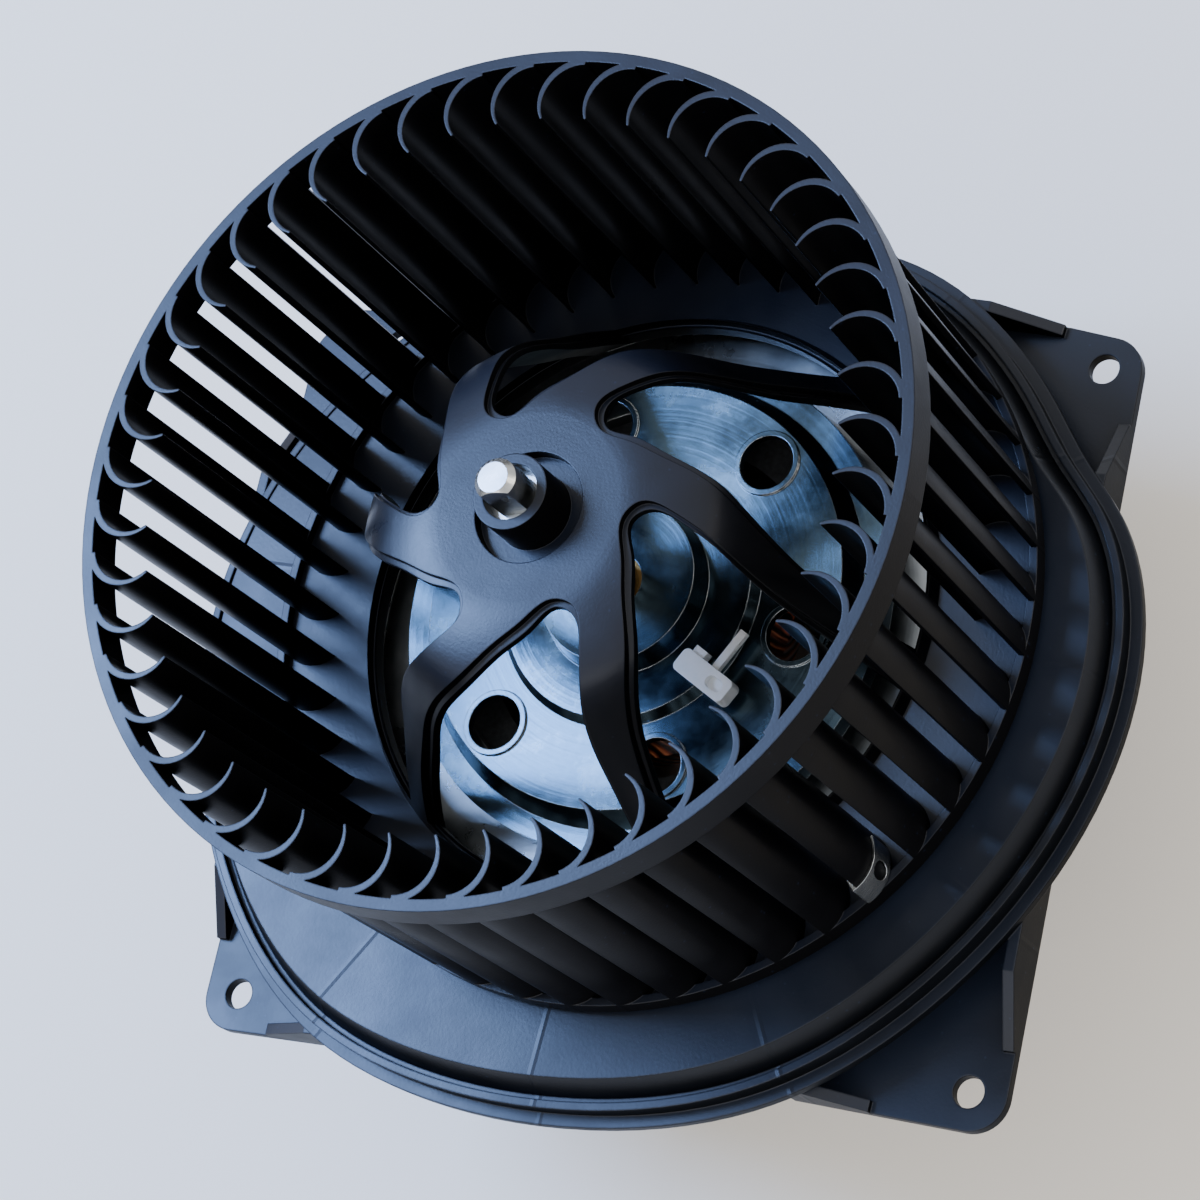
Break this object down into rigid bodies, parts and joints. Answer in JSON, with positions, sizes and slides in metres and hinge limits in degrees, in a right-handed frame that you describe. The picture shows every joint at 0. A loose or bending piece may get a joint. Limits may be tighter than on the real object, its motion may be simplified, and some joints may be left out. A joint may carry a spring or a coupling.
{
  "type": "blower motor wheel",
  "caption": "Centrifugal blower: a moulded squirrel-cage wheel on a permanent-magnet motor's shaft, the motor hung in a scroll-shaped mounting flange with corner tabs.",
  "frame": {"origin": "centre of the four tab holes, on the tabs' upper face, which seats against the heater case", "axes": "+Z parallel to the motor shaft, towards the wheel's open end; +X and +Y along the long and short sides of the hole rectangle"},
  "size_m": [0.1984, 0.1839, 0.1588],
  "materials": {
    "wheel_black": "black glass-filled moulding, slightly glossy",
    "flange_black": "black textured moulding",
    "ground_steel": "ground",
    "zinc": "zinc-plated, satin",
    "spring_steel": "bright rolled",
    "lamination": "stacked sheet",
    "copper": "enamelled copper wire",
    "bare_copper": "turned",
    "brass": "stamped",
    "bronze": "sintered, oiled",
    "ferrite": "fired ceramic",
    "carbon": "pressed carbon",
    "rubber": "moulded",
    "felt": "oiled felt",
    "insulating_paper": "pressed paper",
    "phenolic": "moulded phenolic",
    "fibre_washer": "fibre",
    "natural_nylon": "natural nylon"
  },
  "bodies": {
    "housing": {"mounting_flange": "flange_black", "motor_gasket": "rubber", "motor_ring": "zinc", "motor_screws": "zinc", "motor_can": "zinc", "end_plate": "zinc", "front_bearing": "bronze", "rear_bearing": "bronze", "bearing_retainers": "spring_steel", "oil_felts": "felt", "field_magnets": "ferrite", "magnet_springs": "spring_steel", "brush_card": "phenolic", "brush_tubes": "brass", "carbon_brushes": "carbon", "brush_springs": "spring_steel", "suppression_chokes": "ferrite", "terminals": "brass", "lead_grommet": "rubber", "cable_tie": "natural_nylon"},
    "rotor": {"blower_wheel": "wheel_black", "motor_shaft": "ground_steel", "hub_insert": "ground_steel", "balance_clips": "spring_steel", "armature_core": "lamination", "slot_insulation": "insulating_paper", "armature_winding": "copper", "commutator_body": "phenolic", "commutator_bars": "bare_copper", "thrust_washers": "fibre_washer", "snap_rings": "spring_steel"}
  },
  "joints": [
    {"name": "rotor_spin", "type": "hinge", "parent": "housing", "child": "rotor", "pos_m": [0.0047, 0.0092, 0], "axis": [0, 0, 1], "continuous": true}
  ]
}
